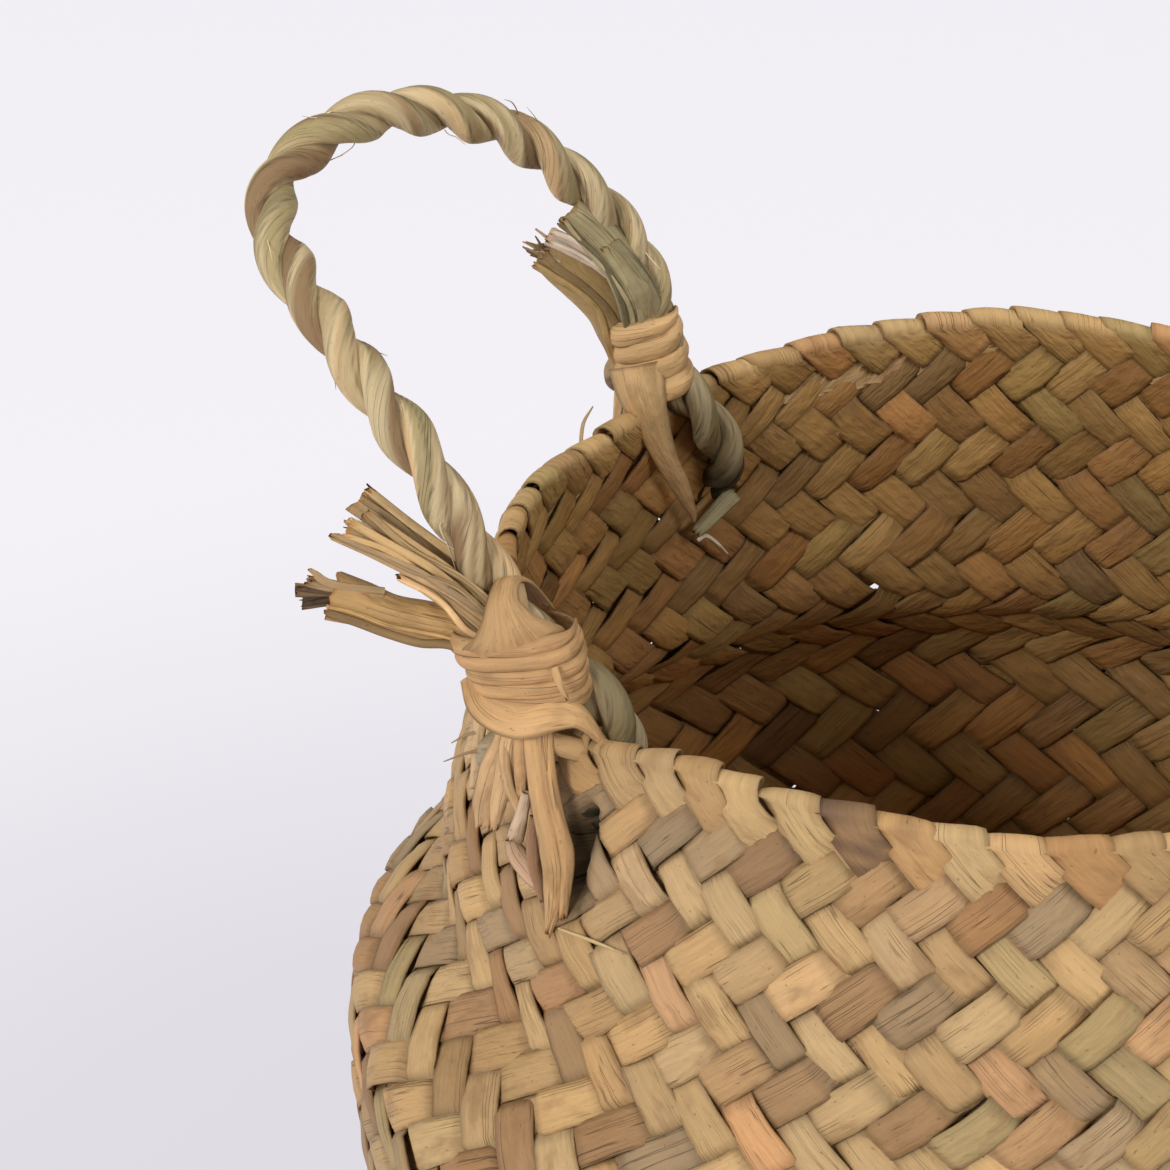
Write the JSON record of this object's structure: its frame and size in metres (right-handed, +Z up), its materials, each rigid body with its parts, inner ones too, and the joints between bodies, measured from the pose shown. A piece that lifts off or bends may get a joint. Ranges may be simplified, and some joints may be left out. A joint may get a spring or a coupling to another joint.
{
  "type": "belly basket",
  "caption": "Round woven seagrass belly basket with a narrow folded rim, a bulging belly, a flat base and twisted rope handles lashed on with palm strip.",
  "frame": {"origin": "on the floor, under the middle of the flat base", "axes": "+Z up out of the mouth, -Y the front, the handles at -X (left) and +X (right)"},
  "size_m": [0.3482, 0.314, 0.3791],
  "materials": {
    "seagrass_weave": "dry matt plant fibre",
    "rim_fold": "dry matt plant fibre",
    "rope": "coarse twisted plant fibre",
    "palm_strip": "smooth dry leaf strip"
  },
  "bodies": {
    "belly": {"woven_belly": "seagrass_weave"},
    "collar": {"woven_collar": "seagrass_weave", "folded_rim": "rim_fold", "left_long_rope_turn": "rope", "left_short_rope_turn": "rope", "left_outer_tie": "palm_strip", "left_tie_strands": "palm_strip", "left_inner_tie": "palm_strip", "right_long_rope_turn": "rope", "right_short_rope_turn": "rope", "right_outer_tie": "palm_strip", "right_tie_strands": "palm_strip", "right_inner_tie": "palm_strip"},
    "left_handle": {"left_handle_rope": "rope", "left_long_binding": "palm_strip", "left_short_binding": "palm_strip", "left_long_rope_end": "rope", "left_short_rope_end": "rope", "left_split_ply": "rope"},
    "right_handle": {"right_handle_rope": "rope", "right_long_binding": "palm_strip", "right_short_binding": "palm_strip", "right_long_rope_end": "rope", "right_short_rope_end": "rope", "right_split_ply": "rope"}
  },
  "joints": [
    {"name": "collar_fold", "type": "slide", "parent": "belly", "child": "collar", "axis": [0, 0, -1], "range_m": [0, 0.07]},
    {"name": "left_handle_swing", "type": "hinge", "parent": "collar", "child": "left_handle", "pos_m": [-0.099, 0, 0.292], "axis": [0, -1, 0], "range_deg": [-40, 25], "stiffness_Nm_per_rad": 0.15, "springref_deg": -0.86, "deforming": ["left_long_rope_turn", "left_short_rope_turn", "left_outer_tie", "left_tie_strands", "left_inner_tie"]},
    {"name": "right_handle_swing", "type": "hinge", "parent": "collar", "child": "right_handle", "pos_m": [0.099, 0, 0.292], "axis": [0, 1, 0], "range_deg": [-40, 25], "stiffness_Nm_per_rad": 0.15, "springref_deg": -0.86, "deforming": ["right_long_rope_turn", "right_short_rope_turn", "right_outer_tie", "right_tie_strands", "right_inner_tie"]}
  ]
}
